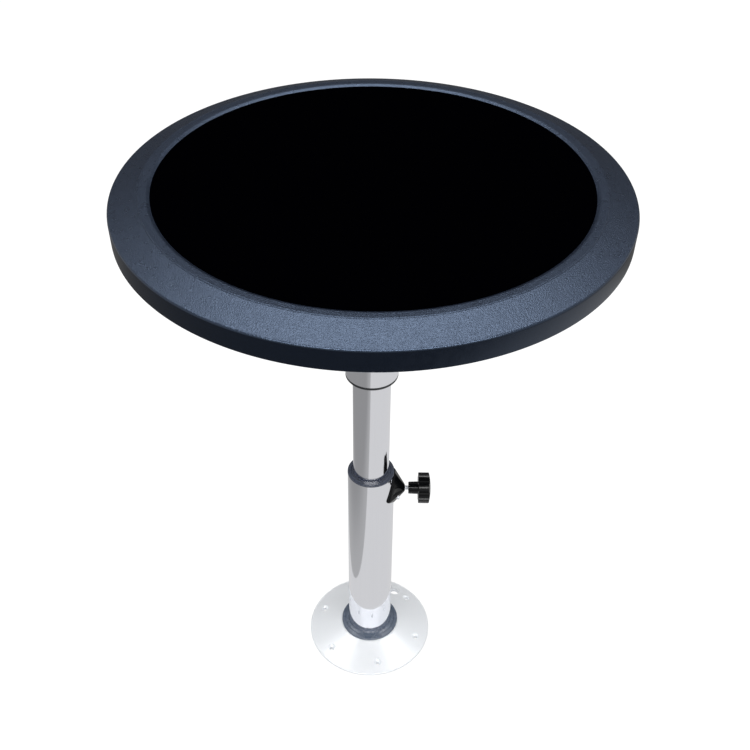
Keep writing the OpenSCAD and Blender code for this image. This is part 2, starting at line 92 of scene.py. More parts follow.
class Body(Enum):
    """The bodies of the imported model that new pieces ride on."""

    STAND = "stand"
    MAST = "mast"
    TOP = "table_top"
    SCREW = "clamp_screw"


class Slot(Enum):
    """The record's material slots that are passed along with new pieces; nothing reads them."""

    RIM = "rim_grain"
    INLAY = "black_inlay"
    ZINC = "zinc_steel"
    TUBE = "polished_tube"
    BUSH = "black_plastic"
    GREY = "grey_plastic"
    KNOB = "knob_black"
    PLATE = "turned_plate"


class Recess(Enum):
    """Drive recesses of the screws."""

    CROSS = "cross"
    HEXAGON = "hexagon"


# Materials


class NodeTree:
    """A short way to add, set and link the nodes of one material or world."""

    def __init__(self, tree: bpy.types.NodeTree) -> None:
        """Empties the tree of a material or a world."""
        self.tree = tree
        tree.nodes.clear()

    def add(self, kind: str, inputs: dict[str | int, object] | None = None,
            **settings: object) -> bpy.types.Node:
        """Adds a node, with values or links for its inputs.

        Args:
            kind: The node's type name, without the ShaderNode prefix.
            inputs: For each input's name or number, a value or an output socket to link.
            settings: Properties of the node.

        Returns:
            The new node.
        """
        node = self.tree.nodes.new("ShaderNode" + kind)
        for name, value in settings.items():
            setattr(node, name, value)
        for name, value in (inputs or {}).items():
            if isinstance(value, bpy.types.NodeSocket):
                self.tree.links.new(value, node.inputs[name])
            else:
                node.inputs[name].default_value = value
        return node

    def out(self, kind: str, inputs: dict[str | int, object], **settings: object) -> Socket:
        """Adds a node and gives its first output."""
        return self.add(kind, inputs, **settings).outputs[0]

    def math(self, operation: str, first: object, second: object, third: object = 0.0) -> Socket:
        """Adds a Math node on values or sockets and gives its output."""
        return self.out("Math", {0: first, 1: second, 2: third}, operation=operation)

    def ramp(self, value: object, low: float, high: float, to_low: float, to_high: float) -> Socket:
        """Maps a value smoothly from low and high to two new ends, and stops at them."""
        ends = {"From Min": low, "From Max": high, "To Min": to_low, "To Max": to_high}
        return self.out("MapRange", {"Value": value, **ends}, interpolation_type="SMOOTHSTEP")

    def noise(self, scale: float, detail: float = 2.0, vector: object = None) -> Socket:
        """Gives the factor of a noise on Object coordinates, or on a given vector."""
        place = self.place() if vector is None else vector
        return self.out("TexNoise", {"Vector": place, "Scale": scale, "Detail": detail})

    def place(self, stretch: Colour = (1.0, 1.0, 1.0)) -> Socket:
        """Gives Object coordinates, scaled on each axis.

        Args:
            stretch: Scale on X, Y and Z.

        Returns:
            The vector's socket.
        """
        place = self.add("TexCoord").outputs["Object"]
        if stretch == (1.0, 1.0, 1.0):
            return place
        return self.out("Mapping", {"Vector": place, "Scale": stretch})

    def reach(self) -> Socket:
        """Gives the distance from the column's axis."""
        flat = self.place((1.0, 1.0, 0.0))
        return self.add("VectorMath", {0: flat}, operation="LENGTH").outputs["Value"]

    def mix(self, factor: Socket, first: Colour, second: Colour) -> Socket:
        """Mixes two colours by the share of the second one."""
        inputs = {0: factor, 6: (*first, 1.0), 7: (*second, 1.0)}
        return self.add("Mix", inputs, data_type="RGBA").outputs[2]


@dataclass(frozen=True)
class Finish:
    """A surface with two close tones that mix by a noise, varying roughness and a fine bump.

    Grain is the number of waves in a metre, and roughness varies in patches of several waves.
    """

    name: str
    tone: Colour
    second_tone: Colour
    roughness: tuple[float, float]
    grain: float
    bump_depth: float
    bump_strength: float = 0.5
    metallic: float = 0.0
    specular: float = 0.5
    specular_tint: Colour = (1.0, 1.0, 1.0)
    stretch: Colour = (1.0, 1.0, 1.0)
    patch_waves: float = 7.0
    patch_range: tuple[float, float] = (0.3, 0.7)

    def pattern(self, nodes: NodeTree) -> Socket:
        """Gives the height of the surface's texture, from 0 to 1."""
        return nodes.noise(self.grain, 3.0, nodes.place(self.stretch))

    def dress(self, nodes: NodeTree, shader: bpy.types.Node) -> None:
        """Adds what only one kind of finish has to its principled shader."""

    def make(self) -> bpy.types.Material:
        """Builds the material, or finds the one that was built before.

        Returns:
            The material.
        """
        name = f"{self.name}_finish"
        if name in bpy.data.materials:
            return bpy.data.materials[name]
        material = bpy.data.materials.new(name)
        material.use_nodes = True
        nodes = NodeTree(material.node_tree)
        height = self.pattern(nodes)
        patches = nodes.noise(self.grain / self.patch_waves)
        shader = nodes.add("BsdfPrincipled", {
            "Base Color": nodes.mix(height, self.tone, self.second_tone),
            "Roughness": nodes.ramp(patches, *self.patch_range, *self.roughness),
            "Metallic": self.metallic,
            "Specular IOR Level": self.specular,
            "Specular Tint": (*self.specular_tint, 1.0),
            "Normal": nodes.out("Bump", {"Height": height, "Strength": self.bump_strength,
                                         "Distance": self.bump_depth}),
        })
        self.dress(nodes, shader)
        nodes.add("OutputMaterial", {"Surface": shader.outputs[0]})
        return material


@dataclass(frozen=True)
class GrainedMoulding(Finish):
    """Moulded plastic with a fine leather grain: rounded cells with darker creases between them.

    The upright walls have no grain and are smoother, and their colour falls to the darker tone,
    which is painted shade on the walls.
    """

    warp: float = 0.9
    warp_cells: float = 3.0
    crease: tuple[float, float] = (0.1, 0.75)
    cell_share: float = 0.65
    fine_scale: float = 2.3
    upright: tuple[float, float] = (0.45, 0.85)
    wall_smoothness: float = 0.16

    def pattern(self, nodes: NodeTree) -> Socket:
        """Warps the place a little and takes the distance to the middles of its cells.

        Args:
            nodes: The tree to add nodes to.

        Returns:
            The height's socket.
        """
        place = nodes.place()
        wave = {"Vector": place, "Scale": self.grain / self.warp_cells, "Detail": 1.0}
        shift = nodes.add("TexNoise", wave).outputs["Color"]
        amount = (self.warp / self.grain,) * 3
        warped = nodes.out("VectorMath", {0: shift, 1: amount}, operation="MULTIPLY")
        moved = nodes.out("VectorMath", {0: place, 1: warped}, operation="ADD")
        cells = nodes.out("TexVoronoi", {"Vector": moved, "Scale": self.grain}, feature="SMOOTH_F1")
        soft = nodes.math("MULTIPLY", nodes.ramp(cells, *self.crease, 1.0, 0.0), self.cell_share)
        fine = nodes.noise(self.grain * self.fine_scale)
        grain = nodes.math("MULTIPLY_ADD", fine, 1 - self.cell_share, soft)
        # On upright walls the grain goes to 0, so their colour falls to the darker tone: painted
        # shade on the walls.
        return nodes.math("MULTIPLY", grain, self.grain_share_and_wall_shade(nodes))

    def grain_share_and_wall_shade(self, nodes: NodeTree) -> Socket:
        """Gives the share of grain: 0 on upright walls, whose colour falls to the darker tone as
        painted shade, and 1 on the grained faces.

        Args:
            nodes: The tree to add nodes to.

        Returns:
            The share's socket.
        """
        normal = nodes.add("NewGeometry").outputs["True Normal"]
        rise = nodes.math("ABSOLUTE", nodes.add("SeparateXYZ", {0: normal}).outputs["Z"], 0.0)
        return nodes.ramp(rise, *self.upright, 0.0, 1.0)

    def dress(self, nodes: NodeTree, shader: bpy.types.Node) -> None:
        """Makes the upright walls smoother than the grained faces.

        Args:
            nodes: The tree to add nodes to.
            shader: The principled shader.
        """
        grained = shader.inputs["Roughness"].links[0].from_socket
        wall = nodes.math("SUBTRACT", 1.0, self.grain_share_and_wall_shade(nodes))
        smooth = nodes.math("MULTIPLY", wall, self.wall_smoothness)
        nodes.tree.links.new(nodes.math("SUBTRACT", grained, smooth), shader.inputs["Roughness"])


@dataclass(frozen=True)
class TurnedMetal(Finish):
    """Metal with a lathe tool's fine rings, which spread a reflection out from the centre."""

    anisotropy: float = 0.7
    rotation: float = 0.25

    def pattern(self, nodes: NodeTree) -> Socket:
        """Reads a noise by the distance from the column's axis, so that it forms rings."""
        inputs = {"W": nodes.reach(), "Scale": self.grain, "Detail": 3.0}
        return nodes.out("TexNoise", inputs, noise_dimensions="1D")

    def dress(self, nodes: NodeTree, shader: bpy.types.Node) -> None:
        """Turns the shader's tangent round the axis.

        Args:
            nodes: The tree to add nodes to.
            shader: The principled shader.
        """
        shader.inputs["Anisotropic"].default_value = self.anisotropy
        shader.inputs["Anisotropic Rotation"].default_value = self.rotation
        tangent = nodes.out("Tangent", {}, direction_type="RADIAL", axis="Z")
        nodes.tree.links.new(tangent, shader.inputs["Tangent"])


RIM_MOULDING = GrainedMoulding(
    "rim_moulding", tone=(0.001, 0.002, 0.005), second_tone=(0.005, 0.008, 0.017),
    roughness=(0.27, 0.34), grain=1000.0, bump_depth=0.00030, bump_strength=1.0,
    specular=1.0, specular_tint=(0.52, 0.69, 1.0))
INLAY_BLACK = Finish(
    "inlay_black", tone=(0.0, 0.0, 0.0002), second_tone=(0.0003, 0.0003, 0.0005),
    roughness=(0.75, 0.95), grain=900.0, bump_depth=0.00005, specular=0.0)
DARK_BOARD = Finish(
    "dark_board", tone=(0.012, 0.011, 0.010), second_tone=(0.030, 0.026, 0.022),
    roughness=(0.55, 0.75), grain=160.0, bump_depth=0.0002, stretch=(0.12, 1.0, 1.0))
CAST_ALLOY = Finish(
    "cast_alloy", tone=(0.10, 0.105, 0.112), second_tone=(0.16, 0.166, 0.176),
    roughness=(0.45, 0.65), grain=700.0, bump_depth=0.0003, metallic=0.6)
BRIGHT_ZINC = Finish(
    "bright_zinc", tone=(0.74, 0.76, 0.80), second_tone=(0.86, 0.88, 0.91),
    roughness=(0.22, 0.34), grain=900.0, bump_depth=0.00002, metallic=0.5)
DRAWN_TUBE = Finish(
    "drawn_tube", tone=(0.88, 0.887, 0.93), second_tone=(0.93, 0.935, 0.975),
    roughness=(0.045, 0.085), grain=1400.0, bump_depth=0.000006, bump_strength=0.25,
    metallic=1.0, stretch=(1.0, 1.0, 0.004))
BUSH_BLACK = Finish(
    "bush_black", tone=(0.010, 0.011, 0.014), second_tone=(0.018, 0.020, 0.024),
    roughness=(0.30, 0.45), grain=1200.0, bump_depth=0.0001)
SPIGOT_ALLOY = TurnedMetal(
    "spigot_alloy", tone=(0.60, 0.61, 0.63), second_tone=(0.78, 0.79, 0.81),
    roughness=(0.25, 0.40), grain=2400.0, bump_depth=0.00003, metallic=1.0)
WHITE_NYLON = Finish(
    "white_nylon", tone=(0.66, 0.66, 0.62), second_tone=(0.74, 0.74, 0.70),
    roughness=(0.40, 0.55), grain=900.0, bump_depth=0.0001)
GREY_MOULDING = Finish(
    "grey_moulding", tone=(0.064, 0.087, 0.128), second_tone=(0.078, 0.103, 0.148),
    roughness=(0.24, 0.32), grain=900.0, bump_depth=0.00002, bump_strength=0.3, specular=1.0)
NAVY_MOULDING = Finish(
    "navy_moulding", tone=(0.026, 0.035, 0.060), second_tone=(0.034, 0.044, 0.074),
    roughness=(0.26, 0.32), grain=900.0, bump_depth=0.00001, bump_strength=0.2, specular=0.9)
KNOB_BLACK = Finish(
    "knob_black", tone=(0.0015, 0.0018, 0.0023), second_tone=(0.0030, 0.0034, 0.0040),
    roughness=(0.12, 0.20), grain=900.0, bump_depth=0.00001, bump_strength=0.1, specular=0.25)
TURNED_PLATE = TurnedMetal(
    "turned_plate", tone=(0.91, 0.94, 0.98), second_tone=(0.96, 0.975, 0.99),
    roughness=(0.34, 0.42), grain=1500.0, bump_depth=0.00003, bump_strength=0.3, metallic=0.45)


# Meshes


@dataclass(frozen=True)
class Corner:
    """One corner of a turned section: distance from the axis, height and rounding radius."""

    r: float
    z: float
    rounding: float = 0.0


def turned(corners: Sequence[Corner], steps: int = 128, arc_steps: int = 4) -> Mesh:
    """Rounds a section's corners and spins it once round the Z axis.

    Args:
        corners: The section's corners in order. A run along the axis is left open.
        steps: Number of steps of the spin.
        arc_steps: Segments of each rounding.

    Returns:
        A closed mesh.
    """
    bm = bmesh.new()
    verts = [bm.verts.new((c.r, 0.0, c.z)) for c in corners]
    bm.faces.new(verts)
    for radius in sorted({c.rounding for c in corners if c.rounding > 0}):
        chosen = [v for v, c in zip(verts, corners) if c.rounding == radius]
        bmesh.ops.bevel(bm, geom=chosen, offset=radius, offset_type="OFFSET", segments=arc_steps,
                        profile=0.5, affect="VERTICES", material=-1)
    bmesh.ops.delete(bm, geom=bm.faces[:], context="FACES_ONLY")
    on_axis = [e for e in bm.edges if all(abs(v.co.x) < MERGE for v in e.verts)]
    bmesh.ops.delete(bm, geom=on_axis, context="EDGES")
    bmesh.ops.spin(bm, geom=bm.verts[:] + bm.edges[:], cent=(0, 0, 0), axis=(0, 0, 1),
                   dvec=(0, 0, 0), angle=FULL_TURN, steps=steps, use_merge=True,
                   use_duplicate=False)
    bmesh.ops.remove_doubles(bm, verts=bm.verts[:], dist=MERGE)
    bmesh.ops.recalc_face_normals(bm, faces=bm.faces[:])
    return bm


def cylinder(radius: float, low: float, high: float, steps: int) -> Mesh:
    """Turns a plain cylinder round the Z axis, from the height low to high."""
    side = [Corner(0.0, low), Corner(radius, low), Corner(radius, high), Corner(0.0, high)]
    return turned(side, steps)


def lofted(rings: Sequence[Ring], segments: int) -> Mesh:
    """Skins a closed loop through rings round the Z axis and closes both ends.

    Args:
        rings: Functions from the angle to the radius and the height.
        segments: Number of points in each ring.

    Returns:
        A closed mesh.
    """
    bm = bmesh.new()
    verts = bmesh.ops.create_circle(bm, cap_ends=False, segments=segments, radius=1.0)["verts"]
    edges = bm.edges[:]
    shape_ring(verts, rings[0])
    bmesh.ops.contextual_create(bm, geom=edges)
    for ring in rings[1:]:
        made = bmesh.ops.extrude_edge_only(bm, edges=edges)["geom"]
        edges = only(made, bmesh.types.BMEdge)
        shape_ring(only(made, bmesh.types.BMVert), ring)
    bmesh.ops.contextual_create(bm, geom=edges)
    bmesh.ops.remove_doubles(bm, verts=bm.verts[:], dist=MERGE)
    bmesh.ops.recalc_face_normals(bm, faces=bm.faces[:])
    return bm


def only(geometry: Sequence[object], kind: type) -> list:
    """Picks the vertices or the edges out of an operator's result."""
    return [item for item in geometry if isinstance(item, kind)]


def shape_ring(verts: Sequence[bmesh.types.BMVert], ring: Ring) -> None:
    """Moves the points of one loop on to a ring, each at its own angle.

    Args:
        verts: The loop's points.
        ring: Function from the angle to the radius and the height.
    """
    for vert in verts:
        angle = math.atan2(vert.co.y, vert.co.x)
        radius, height = ring(angle)
        vert.co = (radius * math.cos(angle), radius * math.sin(angle), height)


def circle_ring(radius: float, height: float) -> Ring:
    """Gives a plain round ring for a loft."""
    return lambda angle: (radius, height)


def along_x(x: float, z: float) -> Matrix:
    """Lays a shape made along +Z on a line along +X, from x at the height z."""
    return Matrix.Translation((x, 0.0, z)) @ Matrix.Rotation(math.pi / 2, 4, "Y")


def put_together(parts: Sequence[tuple[Mesh, Matrix]]) -> Mesh:
    """Joins copies of meshes, each at its place, in one mesh.

    Args:
        parts: Meshes and the matrices that place them. The meshes are freed.

    Returns:
        The joined mesh.
    """
    whole = bmesh.new()
    for part, matrix in parts:
        mesh = bpy.data.meshes.new("copy")
        part.to_mesh(mesh)
        mesh.transform(matrix)
        whole.from_mesh(mesh)
        bpy.data.meshes.remove(mesh)
    for part in {id(part): part for part, _ in parts}.values():
        part.free()
    return whole


def repeated(one: Mesh, places: Sequence[Matrix]) -> Mesh:
    """Puts a copy of one mesh at each place, and frees the one that went in."""
    return put_together([(one, place) for place in places])


def round_places(count: int, radius: float, height: float, first: float = 0.0) -> list[Matrix]:
    """Spreads places evenly on a circle round the column.

    Args:
        count: Number of places.
        radius: Distance from the axis.
        height: Height of the places.
        first: Angle of the first one, in radians.

    Returns:
        One matrix for each place, turned outwards.
    """
    out = Matrix.Translation((radius, 0.0, height))
    turns = [first + i * (FULL_TURN / count) for i in range(count)]
    return [Matrix.Rotation(turn, 4, "Z") @ out for turn in turns]


def middle_z(node: str) -> float:
    """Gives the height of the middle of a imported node."""
    low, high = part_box(node)
    return (low.z + high.z) / 2


def crease(bm: Mesh) -> None:
    """Shades faces smooth and keeps the edges over the sharp angle crisp.

    Args:
        bm: The mesh.
    """
    for face in bm.faces:
        face.smooth = True
    for edge in bm.edges:
        edge.smooth = edge.calc_face_angle(0.0) < SHARP_ANGLE


def plain_object(name: str, bm: Mesh) -> bpy.types.Object:
    """Makes an object of a mesh and frees the mesh.

    Args:
        name: The object's name.
        bm: The mesh.

    Returns:
        The linked object.
    """
    mesh = bpy.data.meshes.new(name)
    bm.to_mesh(mesh)
    bm.free()
    obj = bpy.data.objects.new(name, mesh)
    bpy.context.scene.collection.objects.link(obj)
    bpy.context.view_layer.update()
    return obj


def settle(obj: bpy.types.Object) -> None:
    """Applies an object's modifiers to its mesh.

    Args:
        obj: The object.
    """
    graph = bpy.context.evaluated_depsgraph_get()
    mesh = bpy.data.meshes.new_from_object(obj.evaluated_get(graph))
    old = obj.data
    obj.modifiers.clear()
    obj.data = mesh
    bpy.data.meshes.remove(old)


def taken_from(obj: bpy.types.Object) -> Mesh:
    """Takes an object's mesh and removes the object.

    Args:
        obj: The object.

    Returns:
        Its mesh.
    """
    bm = bmesh.new()
    mesh = obj.data
    bm.from_mesh(mesh)
    bpy.data.objects.remove(obj)
    bpy.data.meshes.remove(mesh)
    return bm


def cut_with(bm: Mesh, cutter: Mesh) -> Mesh:
    """Cuts one closed mesh out of another.

    Args:
        bm: The mesh that is cut. It is freed.
        cutter: What is taken away. It is freed.

    Returns:
        The mesh that is left.
    """
    body = plain_object("cut_body", bm)
    tool = plain_object("cut_tool", cutter)
    modifier = body.modifiers.new("cut", "BOOLEAN")
    modifier.object = tool
    modifier.operation = "DIFFERENCE"
    modifier.solver = "EXACT"
    settle(body)
    taken_from(tool).free()
    result = taken_from(body)
    bmesh.ops.remove_doubles(result, verts=result.verts[:], dist=MERGE)
    return result


def softened_copy(node: bpy.types.Object, voxel: float, rounds: int) -> Mesh:
    """Copies a node's solid as one even skin with slightly rounded edges, as a moulding has.

    Args:
        node: The node's object.
        voxel: Grid size of the skin.
        rounds: Number of smoothing passes.

    Returns:
        The copy.
    """
    bm = bmesh.new()
    bm.from_mesh(node.data)
    bmesh.ops.remove_doubles(bm, verts=bm.verts[:], dist=MERGE)
    obj = plain_object("soft_copy", bm)
    remesh = obj.modifiers.new("skin", "REMESH")
    remesh.mode = "VOXEL"
    remesh.voxel_size = voxel
    settle(obj)
    result = taken_from(obj)
    for _ in range(rounds):
        bmesh.ops.smooth_vert(result, verts=result.verts[:], factor=0.5, use_axis_x=True,
                              use_axis_y=True, use_axis_z=True)
    return result


def add_piece(name: str, bm: Mesh, body: Body, finish: Finish, slot: Slot, *nodes: str) -> None:
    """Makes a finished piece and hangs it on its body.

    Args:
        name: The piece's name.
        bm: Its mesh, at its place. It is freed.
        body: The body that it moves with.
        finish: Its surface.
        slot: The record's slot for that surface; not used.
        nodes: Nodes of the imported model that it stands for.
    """
    crease(bm)
    obj = plain_object(name, bm)
    shading = obj.modifiers.new("shading", "WEIGHTED_NORMAL")
    shading.keep_sharp = True
    settle(obj)
    obj.data.materials.clear()
    obj.data.materials.append(finish.make())
    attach(obj, body.value)
    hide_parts(*nodes)
    log.info("%s: %d faces on %s", name, len(obj.data.polygons), body.value)


def dress_nodes(frame: dict, finishes: dict[str, Finish]) -> None:
    """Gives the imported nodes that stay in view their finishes.

    Args:
        finishes: The finish of each node.
    """
    for name, finish in finishes.items():
        node = frame["nodes"][name]
        node.data.materials.clear()
        node.data.materials.append(finish.make())
        log.info("%s: packed node with %s", name, finish.name)


# Screws and threads


@dataclass(frozen=True)
class Screw:
    """A screw whose head's face lies at z = 0 and whose shank goes up +Z.

    A head height of 0 makes a countersunk head. The other sizes are shares of the head's
    radius, but for the depth in the length, the taper of the recess and the tip of the shank.
    """

    head_r: float
    shank_r: float
    length: float
    recess: Recess
    head_h: float = 0.0
    sides: int = 32
    cross_share: float = 0.55
    hexagon_share: float = 0.42
    arm_share: float = 0.26
    depth_share: float = 0.45
    depth_in_length: float = 0.3
    recess_taper: float = 0.8
    ease_share: float = 0.08
    tip_share: float = 0.6

    def recess_loop(self, bm: Mesh) -> list[bmesh.types.BMEdge]:
        """Draws the outline of the drive recess at z = 0.

        Args:
            bm: The mesh to draw in.

        Returns:
            The outline's edges.
        """
        if self.recess is Recess.HEXAGON:
            radius = self.head_r * self.hexagon_share
            return circle_edges(bm, 6, radius)
        radius = self.head_r * self.cross_share
        arm = radius * self.arm_share
        verts = []
        for quarter in range(4):
            turn = Matrix.Rotation(quarter * math.pi / 2, 3, "Z")
            corner = [(radius, -arm, 0.0), (radius, arm, 0.0), (arm, arm, 0.0)]
            verts += [bm.verts.new(turn @ Vector(point)) for point in corner]
        return [bm.edges.new((verts[i - 1], verts[i])) for i in range(len(verts))]

    def make(self) -> Mesh:
        """Sinks the recess in the head's face and draws the head and the shank up from its rim.

        Returns:
            The closed mesh.
        """
        depth = min(self.depth_share * self.head_r, self.depth_in_length * self.length)
        soft = self.head_r * self.ease_share
        bm = bmesh.new()
        key = self.recess_loop(bm)
        rim = circle_edges(bm, self.sides, self.head_r - soft)
        bmesh.ops.bridge_loops(bm, edges=rim + key)
        pushed = bmesh.ops.extrude_edge_only(bm, edges=key)["geom"]
        floor = only(pushed, bmesh.types.BMVert)
        bmesh.ops.translate(bm, verts=floor, vec=(0.0, 0.0, depth))
        bmesh.ops.scale(bm, verts=floor, vec=(self.recess_taper, self.recess_taper, 1.0))
        bmesh.ops.contextual_create(bm, geom=only(pushed, bmesh.types.BMEdge))
        under_head = self.head_h if self.head_h else self.head_r - self.shank_r
        tip = self.shank_r * self.tip_share
        for radius, height in ((self.head_r, soft), (self.head_r, max(self.head_h, 2 * soft)),
                               (self.shank_r, under_head + 2 * soft),
                               (self.shank_r, self.length - tip),
                               (self.shank_r - tip / 2, self.length)):
            grown = bmesh.ops.extrude_edge_only(bm, edges=rim)["geom"]
            rim = only(grown, bmesh.types.BMEdge)
            for vert in only(grown, bmesh.types.BMVert):
                flat = Vector((vert.co.x, vert.co.y, 0.0)).normalized() * radius
                vert.co = (flat.x, flat.y, height)
        bmesh.ops.contextual_create(bm, geom=rim)
        bmesh.ops.recalc_face_normals(bm, faces=bm.faces[:])
        return bm


def circle_edges(bm: Mesh, sides: int, radius: float) -> list[bmesh.types.BMEdge]:
    """Draws a circle at z = 0 and gives its edges."""
    verts = bmesh.ops.create_circle(bm, cap_ends=False, segments=sides, radius=radius)["verts"]
    return list({e for v in verts for e in v.link_edges})


def threaded_rod(radius: float, pitch: float, length: float, depth: float) -> Mesh:
    """Winds a thread along +Z with one spin, round a core with eased ends.

    Args:
        radius: Outer radius of the thread.
        pitch: Rise in one turn.
        length: Length of the rod.
        depth: Depth of the thread.

    Returns:
        The closed mesh.
    """
    steps = 32
    turns = int(length / pitch) - 1
    root = radius - depth
    flank, crest = pitch * 0.4, pitch * 0.15
    core_r, ease = root + depth * 0.1, depth * 0.3
    shape = [(root, 0.0), (radius, flank), (radius, flank + crest), (root, 2 * flank + crest),
             (root, pitch)]
    bm = bmesh.new()
    verts = [bm.verts.new((r, 0.0, z)) for r, z in shape]
    for low, high in zip(verts, verts[1:]):
        bm.edges.new((low, high))
    bmesh.ops.spin(bm, geom=bm.verts[:] + bm.edges[:], cent=(0, 0, 0), axis=(0, 0, 1),
                   dvec=(0.0, 0.0, pitch / steps), angle=FULL_TURN * turns, steps=steps * turns,
                   use_merge=False, use_duplicate=False)
    bmesh.ops.remove_doubles(bm, verts=bm.verts[:], dist=pitch / 200)
    core = turned([Corner(0.0, 0.0), Corner(core_r, 0.0, ease), Corner(core_r, length, ease),
                   Corner(0.0, length)], steps, 2)
    return put_together([(bm, Matrix.Identity(4)), (core, Matrix.Identity(4))])


# Sub-assemblies


@dataclass
class TableTop:
    """The round top: grained rim, black inlay, board and the cast flange beneath it."""

    frame: dict
    slope_w: float = 31.5 * MM
    fall_w: float = 3.5 * MM
    rim_rise: float = 11.0 * MM
    skirt_taper: float = 0.5 * MM
    foot_w: float = 17.0 * MM
    shoulder_w: float = 24.0 * MM
    edge_round: float = 2.0 * MM
    crease_w: float = 1.2 * MM
    crease_depth: float = 0.4 * MM
    panel_gap: float = 0.2 * MM
    panel_ease: float = 0.3 * MM
    spin_steps: int = 288
    screw_circle: float = 68.0 * MM
    screw_count: int = 6
    screw_head_r: float = 4.6 * MM
    screw_shank_r: float = 2.4 * MM
    set_screw_count: int = 3
    set_screw_r: float = 2.5 * MM
    set_screw_shank_r: float = 2.45 * MM
    set_screw_len: float = 4.5 * MM

    def build_rim(self) -> None:
        """Turns the moulded rim with its skirt, slope, crest crease, inner band and shoulder."""
        low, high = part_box("top_rim")
        inlay_low, inlay_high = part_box("inlay_panel")
        board_low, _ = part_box("core_board")
        outer = high.x
        crest_r = outer - self.slope_w
        inlay_r = inlay_high.x + self.panel_gap
        fall = self.crease_w * self.rim_rise / self.slope_w
        corners = [
            Corner(outer - self.foot_w, low.z, 0.6 * MM),
            Corner(outer - self.skirt_taper, low.z, 1.0 * MM),
            Corner(outer, high.z - self.rim_rise, self.edge_round),
            Corner(crest_r + self.crease_w, high.z - fall, 0.25 * MM),
            Corner(crest_r + self.crease_w / 2, high.z - fall / 2 - self.crease_depth, 0.15 * MM),
            Corner(crest_r, high.z, 0.4 * MM),
            Corner(inlay_r + self.fall_w, high.z, 1.2 * MM),
            Corner(inlay_r, inlay_high.z, 0.3 * MM),
            Corner(inlay_r, inlay_low.z),
            Corner(inlay_r + self.shoulder_w, inlay_low.z),
            Corner(inlay_r + self.shoulder_w, board_low.z),
        ]
        bm = turned(corners, self.spin_steps, 5)
        add_piece("moulded_rim", bm, Body.TOP, RIM_MOULDING, Slot.RIM, "top_rim")

    def build_inlay(self) -> None:
        """Turns the black panel with a fine eased edge."""
        low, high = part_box("inlay_panel")
        corners = [Corner(0.0, low.z), Corner(high.x, low.z),
                   Corner(high.x, high.z, self.panel_ease), Corner(0.0, high.z)]
        bm = turned(corners, self.spin_steps, 3)
        add_piece("black_inlay", bm, Body.TOP, INLAY_BLACK, Slot.INLAY, "inlay_panel")

    def build_screws(self) -> None:
        """Makes the cross-head screws that hold the flange to the board."""
        low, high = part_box("flange_screws")
        one = Screw(self.screw_head_r, self.screw_shank_r, high.z - low.z, Recess.CROSS).make()
        bm = repeated(one, round_places(self.screw_count, self.screw_circle, low.z))
        add_piece("flange_wood_screws", bm, Body.TOP, BRIGHT_ZINC, Slot.ZINC, "flange_screws")

    def build_set_screws(self) -> None:
        """Makes the set screws of the socket, with a hexagon recess outside."""
        _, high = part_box("sleeve_grub_screws")
        one = Screw(self.set_screw_r, self.set_screw_shank_r, self.set_screw_len,
                    Recess.HEXAGON).make()
        places = round_places(self.set_screw_count, high.x, middle_z("sleeve_grub_screws"))
        bm = repeated(one, [place @ FACING_OUT for place in places])
        add_piece("socket_set_screws", bm, Body.TOP, BRIGHT_ZINC, Slot.ZINC, "sleeve_grub_screws")

    def build(self) -> None:
        """Builds the top's pieces in order."""
        self.build_rim()
        self.build_inlay()
        self.build_screws()
        self.build_set_screws()
        dress_nodes(self.frame, {"core_board": DARK_BOARD, "top_flange": CAST_ALLOY})


